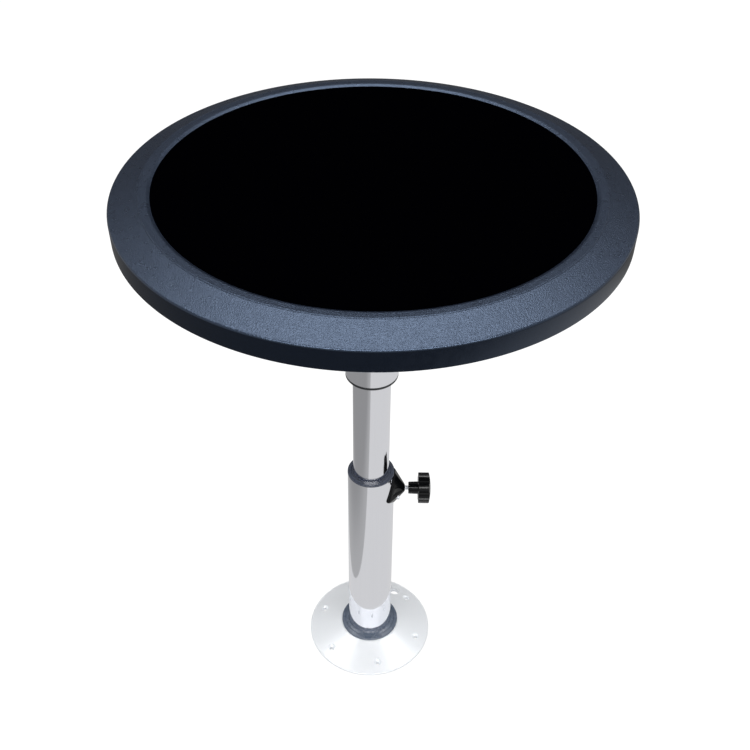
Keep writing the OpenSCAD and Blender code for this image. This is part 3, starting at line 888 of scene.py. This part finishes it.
@dataclass
class Column:
    """The telescopic tubes with their bushes, collar and the hidden pivot at the top."""

    frame: dict
    steps: int = 160
    wall: float = 2.0 * MM
    lower_wall: float = 2.5 * MM
    end_ease: float = 0.4 * MM
    gap: float = 0.05 * MM
    pad_hole_r: float = 5.05 * MM
    screw_hole_r: float = 1.8 * MM
    groove_w: float = 1.7 * MM
    groove_depth: float = 1.4 * MM
    bead_round: float = 1.7 * MM
    bead_ease: float = 1.2 * MM

    def tube(self, node: str, wall: float) -> Mesh:
        """Turns one tube with eased ends.

        Args:
            node: The node that it stands for.
            wall: Thickness of its wall.

        Returns:
            The tube.
        """
        low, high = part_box(node)
        bore, outer, ease = high.x - wall, high.x, self.end_ease
        corners = [Corner(bore, low.z, ease), Corner(outer, low.z, ease),
                   Corner(outer, high.z, ease), Corner(bore, high.z, ease)]
        return turned(corners, self.steps, 2)

    def build_upper_tubes(self) -> None:
        """Turns the sleeve and the inner tube."""
        for name, node, body in (("top_sleeve_tube", "upper_sleeve", Body.TOP),
                                 ("sliding_inner_tube", "inner_tube", Body.MAST)):
            add_piece(name, self.tube(node, self.wall), body, DRAWN_TUBE, Slot.TUBE, node)

    def build_lower_tube(self) -> None:
        """Turns the lower tube and bores the pad's hole and the bracket's two screw holes."""
        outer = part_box("lower_tube")[1].x
        bore = outer - self.lower_wall
        screw_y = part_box("bracket_screws")[1].y - BRACKET_HEAD_R
        screw_z = middle_z("bracket_screws")
        drills = []
        for radius, y, z in ((self.pad_hole_r, 0.0, middle_z("pressure_pad")),
                             (self.screw_hole_r, screw_y, screw_z),
                             (self.screw_hole_r, -screw_y, screw_z)):
            place = Matrix.Translation((0.0, y, 0.0)) @ along_x(bore / 2, z)
            drills.append((cylinder(radius, 0.0, outer, 32), place))
        bm = cut_with(self.tube("lower_tube", self.lower_wall), put_together(drills))
        add_piece("lower_pedestal_tube", bm, Body.STAND, DRAWN_TUBE, Slot.TUBE, "lower_tube")

    def build_sleeve_bush(self) -> None:
        """Turns the bush whose black edge closes the sleeve."""
        low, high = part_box("sleeve_bush_lower")
        sleeve_low, sleeve_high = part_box("upper_sleeve")
        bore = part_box("inner_tube")[1].x + self.gap
        inside = sleeve_high.x - self.wall - self.gap
        corners = [
            Corner(bore, low.z, 0.5 * MM), Corner(high.x, low.z, 0.8 * MM),
            Corner(high.x, sleeve_low.z, 0.3 * MM), Corner(inside, sleeve_low.z),
            Corner(inside, high.z), Corner(bore, high.z)]
        bm = turned(corners, self.steps, 4)
        add_piece("sleeve_edge_bush", bm, Body.TOP, BUSH_BLACK, Slot.BUSH, "sleeve_bush_lower")

    def build_collar(self) -> None:
        """Turns the mouth's thin collar: a round bead flush with the tube, and a groove in it."""
        low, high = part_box("guide_collar")
        tube_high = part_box("lower_tube")[1]
        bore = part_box("inner_tube")[1].x + self.gap
        inside = tube_high.x - self.lower_wall - self.gap
        bead_r, groove_z = bore + self.groove_w, high.z - self.groove_depth
        corners = [
            Corner(bore, low.z, 0.3 * MM), Corner(inside, low.z, 0.5 * MM),
            Corner(inside, tube_high.z), Corner(high.x, tube_high.z, 0.2 * MM),
            Corner(high.x, high.z, self.bead_round),
            Corner(bead_r + self.bead_ease, high.z, self.bead_ease),
            Corner(bead_r, groove_z, 0.3 * MM), Corner(bore, groove_z, 0.2 * MM)]
        bm = turned(corners, self.steps, 6)
        add_piece("mouth_collar", bm, Body.STAND, NAVY_MOULDING, Slot.GREY, "guide_collar")

    def build(self) -> None:
        """Builds the column's pieces in order."""
        self.build_upper_tubes()
        self.build_lower_tube()
        self.build_sleeve_bush()
        self.build_collar()
        dress_nodes(self.frame, {
            "sleeve_bush_upper": BUSH_BLACK, "pivot_plug": SPIGOT_ALLOY,
            "thrust_washer": WHITE_NYLON, "pivot_bolt": BRIGHT_ZINC, "tube_guide": GREY_MOULDING})


@dataclass
class HeightClamp:
    """The saddle bracket with its screws, the threaded stud, the star knob and the nylon pad."""

    frame: dict
    lobes: int = 5
    lobe_phase: float = math.radians(224)
    least_r: float = 20.0 * MM
    valley_depth: float = 5.0 * MM
    valley_r: float = 9.0 * MM
    corner_blend: float = 2.2 * MM
    hub_r: float = 8.2 * MM
    hub_len: float = 12.5 * MM
    hub_taper: float = 0.4 * MM
    hub_ease: float = 0.5 * MM
    bore_r: float = 3.05 * MM
    bore_depth: float = 4.0 * MM
    dome: float = 2.5 * MM
    dome_shares: tuple[float, ...] = (0.9, 0.75, 0.55, 0.35, 0.15)
    edge_round: float = 1.0 * MM
    edge_arc: tuple[float, ...] = (0, 22.5, 45, 67.5, 90)
    knob_points: int = 180
    stud_pitch: float = 1.0 * MM
    thread_depth: float = 0.55 * MM
    tip_len: float = 3.2 * MM
    tip_inset: float = 1.0 * MM
    tip_overlap: float = 0.5 * MM
    skin_voxel: float = 0.5 * MM
    skin_rounds: int = 4
    screw_shank_r: float = 1.75 * MM
    screw_head_h: float = 2.5 * MM
    axis_z: float = field(init=False)
    knob_r: float = field(init=False)
    knob_len: float = field(init=False)

    def __post_init__(self) -> None:
        """Reads the clamp's axis and the knob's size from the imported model."""
        low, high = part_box("star_knob")
        self.axis_z = middle_z("clamp_stud")
        self.knob_r = max((high.z - low.z) / 2, self.least_r)
        self.knob_len = high.x - low.x

    def lobe_radius(self, angle: float) -> float:
        """Gives the radius of the knob's outline: a circle with round valleys and soft corners.

        Args:
            angle: Angle round the knob's axis.

        Returns:
            The radius at that angle.
        """
        full = self.knob_r
        pitch = FULL_TURN / self.lobes
        from_valley = (angle - self.lobe_phase) % pitch - pitch / 2
        centre = full - self.valley_depth + self.valley_r
        reach = self.valley_r ** 2 - (centre * math.sin(from_valley)) ** 2
        if reach <= 0:
            return full
        valley = centre * math.cos(from_valley) - math.sqrt(reach)
        near = max(self.corner_blend - abs(full - valley), 0.0) / self.corner_blend
        return min(full, valley) - near * near * self.corner_blend / 4

    def face_z(self, radius: float) -> float:
        """Gives the height of the knob's domed face at a distance from its axis."""
        return self.knob_len - self.dome * (radius / self.knob_r) ** 2

    def back_ring(self, turn: float) -> Ring:
        """Gives a ring on the rounding between the head's back and its side.

        Args:
            turn: How far round the rounding it lies, in radians.

        Returns:
            The ring.
        """
        inset = self.edge_round * (1 - math.sin(turn))
        height = self.hub_len + self.edge_round * (1 - math.cos(turn))
        return lambda angle: (self.lobe_radius(angle) - inset, height)

    def face_ring(self, share: float = 1.0, out: float = 0.0, drop: float = 0.0) -> Ring:
        """Gives a ring on the domed face, or on the rounding between it and the head's side.

        Args:
            share: Its share of the face's outline.
            out: How far outside the outline it lies.
            drop: How far beneath the face it lies.

        Returns:
            The ring.
        """
        def ring(angle: float) -> tuple[float, float]:
            """Gives the radius and the height at an angle."""
            radius = (self.lobe_radius(angle) - self.edge_round) * share
            return radius + out, self.face_z(radius) - drop

        return ring

    def build_knob(self) -> None:
        """Lofts the hub and the lobed head, with a domed face and rounded edges."""
        foot_r, ease, head = self.hub_r - self.hub_taper, self.hub_ease, self.hub_len
        arc = [math.radians(degrees) for degrees in self.edge_arc]
        rings = [circle_ring(radius, height) for radius, height in (
            (self.bore_r, self.bore_depth), (self.bore_r, 0.0), (foot_r - ease, 0.0),
            (foot_r, ease), (self.hub_r, head - ease), (self.hub_r + ease, head))]
        rings += [self.back_ring(turn) for turn in arc]
        rings += [self.face_ring(out=self.edge_round * math.cos(turn),
                                 drop=self.edge_round * (1 - math.sin(turn))) for turn in arc]
        rings += [self.face_ring(share) for share in self.dome_shares]
        bm = lofted(rings, self.knob_points)
        place = along_x(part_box("star_knob")[0].x, self.axis_z)
        bmesh.ops.transform(bm, matrix=place, verts=bm.verts[:])
        add_piece("lobed_knob", bm, Body.SCREW, KNOB_BLACK, Slot.KNOB, "star_knob")

    def build_stud(self) -> None:
        """Winds the stud's thread and adds the plain tip that turns in the pad."""
        low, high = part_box("clamp_stud")
        radius = (high.z - low.z) / 2
        rod_len = high.x - low.x - self.tip_len
        rod = threaded_rod(radius, self.stud_pitch, rod_len, self.thread_depth)
        tip_r, tip_end = radius - self.tip_inset, self.tip_len + self.tip_overlap
        tip = turned([Corner(0.0, 0.0), Corner(tip_r, 0.0, 0.3 * MM), Corner(tip_r, tip_end),
                      Corner(0.0, tip_end)], 32, 2)
        bm = put_together([(rod, along_x(low.x + self.tip_len, self.axis_z)),
                           (tip, along_x(low.x, self.axis_z))])
        add_piece("threaded_stud", bm, Body.SCREW, BRIGHT_ZINC, Slot.ZINC, "clamp_stud")

    def build_bracket(self) -> None:
        """Skins the saddle bracket as a moulding with soft edges."""
        solid = self.frame["nodes"]["clamp_bracket"]
        bm = softened_copy(solid, self.skin_voxel, self.skin_rounds)
        add_piece("saddle_bracket", bm, Body.STAND, KNOB_BLACK, Slot.BUSH, "clamp_bracket")

    def build_screws(self) -> None:
        """Makes the two bright screws that hold the bracket."""
        low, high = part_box("bracket_screws")
        y, z = high.y - BRACKET_HEAD_R, middle_z("bracket_screws")
        one = Screw(BRACKET_HEAD_R, self.screw_shank_r, high.x - low.x, Recess.HEXAGON,
                    self.screw_head_h).make()
        bm = repeated(one, [Matrix.Translation((high.x, side, z)) @ FACING_OUT for side in (-y, y)])
        add_piece("bracket_cap_screws", bm, Body.STAND, BRIGHT_ZINC, Slot.ZINC, "bracket_screws")

    def build(self) -> None:
        """Builds the clamp's pieces in order."""
        self.build_bracket()
        self.build_screws()
        self.build_stud()
        self.build_knob()
        dress_nodes(self.frame, {"captive_nut": BRIGHT_ZINC, "pressure_pad": WHITE_NYLON})


@dataclass
class FloorMount:
    """The turned floor plate with its cone, bosses and holes, its ring and the hidden spigot."""

    frame: dict
    cone_r: float = 41.5 * MM
    ledge_w: float = 2.0 * MM
    edge: float = 1.0 * MM
    wall: float = 3.5 * MM
    land_w: float = 7.0 * MM
    web_w: float = 5.0 * MM
    boss_w: float = 4.0 * MM
    rib_t: float = 4.0 * MM
    gap: float = 0.05 * MM
    over: float = 1.0 * MM
    hole_count: int = 6
    hole_circle: float = 71.0 * MM
    hole_r: float = 2.75 * MM
    sink_r: float = 5.5 * MM
    sink_ease: float = 0.2 * MM
    first_hole: float = math.radians(40)
    plain_hole_r: float = 7.0 * MM
    plain_hole_circle: float = 66.5 * MM
    plain_hole_angle: float = math.radians(57)
    under_screw_count: int = 3
    under_head_r: float = 4.0 * MM
    under_shank_r: float = 2.0 * MM
    under_hole_r: float = 2.05 * MM
    ring_chamfer: float = 0.8 * MM
    ring_edge_h: float = 2.6 * MM
    ring_lip_w: float = 1.5 * MM
    ring_groove_half: float = 0.5 * MM
    ring_groove_depth: float = 0.6 * MM
    base_r: float = field(init=False)
    cone_h: float = field(init=False)
    edge_t: float = field(init=False)
    socket_r: float = field(init=False)
    under_circle: float = field(init=False)

    def __post_init__(self) -> None:
        """Reads the plate's size, the floor under the column and the circle of its screws."""
        plate_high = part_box("base_plate")[1]
        self.base_r, self.cone_h = plate_high.x, plate_high.z
        self.edge_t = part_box("base_spigot")[0].z
        self.socket_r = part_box("lower_tube")[1].x + self.gap
        self.under_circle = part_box("spigot_screws")[1].x - self.under_head_r

    def cone_z(self, radius: float) -> float:
        """Gives the height of the cone's surface at a distance from the axis."""
        foot = self.base_r - self.ledge_w
        return self.edge_t + (self.cone_h - self.edge_t) * (foot - radius) / (foot - self.cone_r)

    def hole_places(self) -> list[Matrix]:
        """Gives the places of the countersunk holes."""
        return round_places(self.hole_count, self.hole_circle, 0.0, self.first_hole)

    def plain_place(self) -> Matrix:
        """Gives the place of the larger plain hole."""
        return round_places(1, self.plain_hole_circle, 0.0, self.plain_hole_angle)[0]

    def plate_body(self) -> Mesh:
        """Turns the plate's solid: edge, ledge, cone, flat top and the column's socket.

        Returns:
            The closed mesh.
        """
        return turned([
            Corner(0.0, 0.0), Corner(self.base_r, 0.0, 0.4 * MM),
            Corner(self.base_r, self.edge_t - self.edge, 0.3 * MM),
            Corner(self.base_r - self.edge, self.edge_t, 0.3 * MM),
            Corner(self.base_r - self.ledge_w, self.edge_t, 0.8 * MM),
            Corner(self.cone_r, self.cone_h, 0.6 * MM),
            Corner(self.socket_r, self.cone_h, 0.3 * MM),
            Corner(self.socket_r, self.edge_t), Corner(0.0, self.edge_t)], 192, 3)

    def hollow(self) -> Mesh:
        """Makes what is hollow beneath the cone, less the bosses and the ribs.

        Returns:
            The hollow as a closed mesh.
        """
        land, web = self.base_r - self.land_w, self.socket_r + self.web_w
        under_cone = self.cone_h - self.wall
        space = turned([
            Corner(web, -self.over), Corner(land, -self.over),
            Corner(land, self.cone_z(land) - self.wall), Corner(self.cone_r, under_cone),
            Corner(web, under_cone)], 96)
        boss = cylinder(self.sink_r + self.boss_w, -2 * self.over, self.cone_h, 40)
        plain_boss = cylinder(self.plain_hole_r + self.boss_w, -2 * self.over, self.cone_h, 48)
        bosses = [(boss, place) for place in self.hole_places()]
        space = cut_with(space, put_together(bosses + [(plain_boss, self.plain_place())]))
        rib = bmesh.new()
        bmesh.ops.create_cube(rib, size=1.0)
        rib_len = self.hole_circle - web
        middle = web + rib_len / 2 - self.over
        size = Matrix.Diagonal((rib_len, self.rib_t, 2 * self.cone_h, 1.0))
        places = round_places(self.hole_count, middle, 0.0, self.first_hole)
        return cut_with(space, repeated(rib, [place @ size for place in places]))

    def drills(self) -> Mesh:
        """Makes what the holes and the seats of the screws beneath take out of the plate.

        Returns:
            The holes as closed meshes in one.
        """
        low, high, seat_top = -self.over, self.cone_h + self.over, self.edge_t + self.over
        hole_top = self.cone_z(self.hole_circle)
        countersink = turned([
            Corner(0.0, low), Corner(self.hole_r, low),
            Corner(self.hole_r, hole_top - (self.sink_r - self.hole_r)),
            Corner(self.sink_r, hole_top, self.sink_ease), Corner(self.sink_r, high),
            Corner(0.0, high)], 40, 2)
        plain = cylinder(self.plain_hole_r, low, high, 56)
        seat = turned([
            Corner(0.0, low), Corner(self.under_head_r + self.over, low),
            Corner(self.under_hole_r, self.under_head_r - self.under_hole_r),
            Corner(self.under_hole_r, seat_top), Corner(0.0, seat_top)], 32)
        parts = [(countersink, place) for place in self.hole_places()]
        parts.append((plain, self.plain_place()))
        seats = round_places(self.under_screw_count, self.under_circle, 0.0)
        return put_together(parts + [(seat, place) for place in seats])

    def build_plate(self) -> None:
        """Cuts the hollow, the holes and the screw seats out of the plate."""
        bm = cut_with(cut_with(self.plate_body(), self.hollow()), self.drills())
        add_piece("turned_floor_plate", bm, Body.STAND, TURNED_PLATE, Slot.PLATE, "base_plate")

    def build_under_screws(self) -> None:
        """Makes the countersunk screws that hold the spigot from beneath."""
        low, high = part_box("spigot_screws")
        one = Screw(self.under_head_r, self.under_shank_r, high.z - low.z, Recess.CROSS).make()
        bm = repeated(one, round_places(self.under_screw_count, self.under_circle, low.z))
        add_piece("spigot_cross_screws", bm, Body.STAND, BRIGHT_ZINC, Slot.ZINC, "spigot_screws")

    def build_ring(self) -> None:
        """Turns the cone's dark ring: chamfered edge, fine groove and a face that rises inwards."""
        low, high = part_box("foot_ring")
        outer, top = high.x, high.z
        face_r, face_z = outer - self.ring_chamfer, low.z + self.ring_edge_h
        lip_r = self.socket_r + self.ring_lip_w
        groove_r = (self.socket_r + outer) / 2

        def on_face(radius: float, depth: float = 0.0) -> Corner:
            """Gives a corner on the sloped face, or at a depth in it."""
            height = face_z + (top - face_z) * (face_r - radius) / (face_r - lip_r)
            return Corner(radius, height - depth, 0.15 * MM)

        corners = [
            Corner(self.socket_r, low.z), Corner(outer, low.z, 0.3 * MM),
            Corner(outer, face_z - self.ring_chamfer, 0.5 * MM), Corner(face_r, face_z, 0.5 * MM),
            on_face(groove_r + self.ring_groove_half), on_face(groove_r, self.ring_groove_depth),
            on_face(groove_r - self.ring_groove_half), Corner(lip_r, top, 0.6 * MM),
            Corner(self.socket_r, top, 0.3 * MM)]
        bm = turned(corners, 160, 4)
        add_piece("foot_cover_ring", bm, Body.STAND, GREY_MOULDING, Slot.GREY, "foot_ring")

    def build(self) -> None:
        """Builds the foot's pieces in order."""
        self.build_plate()
        self.build_ring()
        self.build_under_screws()
        dress_nodes(self.frame, {"base_spigot": SPIGOT_ALLOY})


# Studio


@dataclass(frozen=True)
class Softbox:
    """A rectangular lamp that points at a place on the object.

    Azimuth 0 is in front, on -Y, and 180 behind.
    """

    name: str
    azimuth: float
    elevation: float
    distance: float
    width: float
    height: float
    radiance: float
    aim: tuple[float, float, float] = (0.0, 0.0, 0.6)

    def place(self) -> None:
        """Adds the lamp, which the camera doesn't see."""
        turn, rise = math.radians(self.azimuth), math.radians(self.elevation)
        level = math.cos(rise)
        out = Vector((math.sin(turn) * level, -math.cos(turn) * level, math.sin(rise)))
        data = bpy.data.lights.new(self.name, "AREA")
        data.shape = "RECTANGLE"
        data.size, data.size_y = self.width, self.height
        data.energy = self.radiance * math.pi * self.width * self.height
        lamp = bpy.data.objects.new(self.name, data)
        lamp.location = Vector(self.aim) + out * self.distance
        lamp.rotation_euler = (-out).to_track_quat("-Z", "Y").to_euler()
        lamp.visible_camera = False
        bpy.context.scene.collection.objects.link(lamp)


@dataclass
class Studio:
    """Pale floor, even surroundings, lamps and the camera at the photo's angle."""

    lamps: tuple[Softbox, ...] = (
        Softbox("overhead_softbox", azimuth=180.0, elevation=86.0, distance=2.05, width=2.8,
                height=1.30, radiance=4.3),
        Softbox("front_softbox", azimuth=3.0, elevation=50.0, distance=1.8, width=2.2,
                height=0.20, radiance=10.0, aim=(0.0, 0.0, 0.1)),
    )
    # The floor: what the camera sees of it, and what it sends back to the object
    floor_side: float = 40.0
    floor_gap: float = 0.2 * MM
    floor_white: float = 0.90
    shadow_tone: Colour = (0.16, 0.16, 0.16)
    bounce_tone: Colour = (0.55, 0.55, 0.56)
    # The paper on the floor that the polished tubes mirror: lighter right of a straight line
    line_x: float = -0.134
    line_slope: float = -0.124
    dark_paper: tuple[float, float] = (0.42, 0.29)
    dark_width: float = 0.22
    light_paper: float = 0.66
    paper_reach: tuple[float, float] = (0.70, 0.95)
    paper_right: float = 0.30
    beyond_paper: float = 0.13
    far_floor: tuple[float, float] = (1.9, 2.8)
    # Surroundings: even light on rough surfaces, and a dome in reflections that brightens upwards
    ambient: float = 0.78
    dome: tuple[float, float] = (0.05, 0.50)
    dome_heights: tuple[float, float] = (0.1, 0.9)
    dome_tint: Colour = (0.96, 0.98, 1.0)
    pale_tone: float = 0.60
    # Behind the object reflections are dark, up to this cosine from straight behind
    back_sector: tuple[float, float] = (0.60, 0.85)
    # Camera, measured from the photo
    focal_px: float = 1047.9
    eye: tuple[float, float, float] = (0.00364, -0.95352, 1.27067)
    pitch: float = 0.6928
    roll: float = 0.0116
    sensor_mm: float = 36.0

    def build_floor(self) -> None:
        """Lays the floor: white to the camera with a faint shadow, and toned paper in reflections.

        It is clear from beneath, so that the underside of the plate can be seen.
        """
        bm = bmesh.new()
        bmesh.ops.create_grid(bm, x_segments=8, y_segments=8, size=self.floor_side / 2)
        bmesh.ops.translate(bm, verts=bm.verts[:], vec=(0.0, 0.0, -self.floor_gap))
        floor = plain_object("studio_floor", bm)
        material = bpy.data.materials.new("floor_paper")
        material.use_nodes = True
        nodes = NodeTree(material.node_tree)
        ray = nodes.add("LightPath").outputs
        seen = nodes.out("AddShader", {
            0: nodes.out("Emission", {"Strength": self.floor_white}),
            1: nodes.out("BsdfDiffuse", {"Color": (*self.shadow_tone, 1.0)})})
        mirrored = nodes.out("Emission", {"Strength": self.paper_tone(nodes)})
        lit = nodes.out("BsdfDiffuse", {"Color": (*self.bounce_tone, 1.0)})
        rest = nodes.out("MixShader", {0: ray["Is Glossy Ray"], 1: lit, 2: mirrored})
        above = nodes.out("MixShader", {0: ray["Is Camera Ray"], 1: rest, 2: seen})
        beneath = nodes.add("NewGeometry").outputs["Backfacing"]
        clear = nodes.out("BsdfTransparent", {})
        whole = nodes.out("MixShader", {0: beneath, 1: above, 2: clear})
        nodes.add("OutputMaterial", {"Surface": whole})
        floor.data.materials.append(material)

    def paper_tone(self, nodes: NodeTree) -> Socket:
        """Gives the floor's brightness in reflections by the place on it.

        Args:
            nodes: The floor's node tree.

        Returns:
            The brightness.
        """
        axes = nodes.add("SeparateXYZ", {0: nodes.place()}).outputs
        line = nodes.math("MULTIPLY_ADD", axes["Y"], self.line_slope, self.line_x)
        past = nodes.math("SUBTRACT", line, axes["X"])
        side = nodes.math("GREATER_THAN", past, 0.0)
        dark = nodes.ramp(past, 0.0, self.dark_width, *self.dark_paper)
        difference = nodes.math("SUBTRACT", dark, self.light_paper)
        tone = nodes.math("MULTIPLY_ADD", side, difference, self.light_paper)
        reach = nodes.reach()
        right = nodes.math("MULTIPLY", nodes.math("MAXIMUM", axes["X"], 0.0), self.paper_right)
        fade = nodes.ramp(nodes.math("SUBTRACT", reach, right), *self.paper_reach, 1.0, 0.0)
        share = self.away_from_back(nodes, axes["Y"], reach)
        pale = nodes.math("MULTIPLY", share, self.pale_tone)
        far = nodes.math("MULTIPLY", nodes.ramp(reach, *self.far_floor, 0.0, 1.0), pale)
        beyond = nodes.math("MAXIMUM", far, self.beyond_paper)
        outside = nodes.math("MULTIPLY", nodes.math("SUBTRACT", 1.0, fade), beyond)
        return nodes.math("MULTIPLY_ADD", tone, fade, outside)

    def away_from_back(self, nodes: NodeTree, back: Socket, length: Socket) -> Socket:
        """Gives 0 where back is nearly the whole length, and 1 in front and at the sides."""
        return nodes.ramp(nodes.math("DIVIDE", back, length), *self.back_sector, 1.0, 0.0)

    def build_world(self) -> None:
        """Sets even light for rough surfaces, white for the camera and a dome in reflections."""
        world = bpy.data.worlds.new("studio_surroundings")
        bpy.context.scene.world = world
        world.use_nodes = True
        nodes = NodeTree(world.node_tree)
        ray = nodes.add("LightPath").outputs
        direction = nodes.add("TexCoord").outputs["Generated"]
        axes = nodes.add("SeparateXYZ", {0: direction}).outputs
        height = axes["Z"]
        # A little over 1, so that the root stays real straight up and down
        rest = nodes.math("SUBTRACT", 1.0001, nodes.math("MULTIPLY", height, height))
        level = nodes.math("SQRT", rest, 0.0)
        share = self.away_from_back(nodes, axes["Y"], level)
        dark = nodes.ramp(height, *self.dome_heights, *self.dome)
        paler = nodes.math("SUBTRACT", self.pale_tone, dark)
        dome = nodes.math("MULTIPLY_ADD", share, paler, dark)
        even = nodes.out("Background", {"Color": (1.0, 1.0, 1.0, 1.0), "Strength": self.ambient})
        graded = nodes.out("Background", {"Color": (*self.dome_tint, 1.0), "Strength": dome})
        white = nodes.out("Background", {"Color": (1.0, 1.0, 1.0, 1.0), "Strength": 1.0})
        unseen = nodes.out("MixShader", {0: ray["Is Glossy Ray"], 1: even, 2: graded})
        whole = nodes.out("MixShader", {0: ray["Is Camera Ray"], 1: unseen, 2: white})
        nodes.add("OutputWorld", {"Surface": whole})

    def build_camera(self) -> None:
        """Sets the camera at the photo's place, tilt and roll."""
        data = bpy.data.cameras.new("photo_camera")
        data.sensor_width = self.sensor_mm
        data.lens = self.focal_px * self.sensor_mm / PHOTO_SIDE_PX
        camera = bpy.data.objects.new("photo_camera", data)
        forward = Vector((0.0, math.cos(self.pitch), -math.sin(self.pitch)))
        up = Vector((0.0, math.sin(self.pitch), math.cos(self.pitch)))
        right = Vector((1.0, 0.0, 0.0))
        x_axis = math.cos(self.roll) * right + math.sin(self.roll) * up
        y_axis = -math.sin(self.roll) * right + math.cos(self.roll) * up
        turn = Matrix((x_axis, y_axis, -forward)).transposed().to_4x4()
        camera.matrix_world = Matrix.Translation(self.eye) @ turn
        bpy.context.scene.collection.objects.link(camera)
        bpy.context.scene.camera = camera

    def build(self) -> None:
        """Builds the studio and sets the plain view transform."""
        self.build_camera()
        self.build_floor()
        self.build_world()
        for lamp in self.lamps:
            lamp.place()
        bpy.context.scene.view_settings.view_transform = "Standard"


def main() -> None:
    """Loads the frame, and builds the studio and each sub-assembly."""
    logging.basicConfig(level=logging.INFO, format="%(name)s: %(message)s")
    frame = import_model()
    Studio().build()
    for assembly in (TableTop(frame), Column(frame), HeightClamp(frame), FloorMount(frame)):
        assembly.build()
        log.info("%s is built", type(assembly).__name__)
    bpy.context.view_layer.update()


if __name__ == "__main__":
    main()
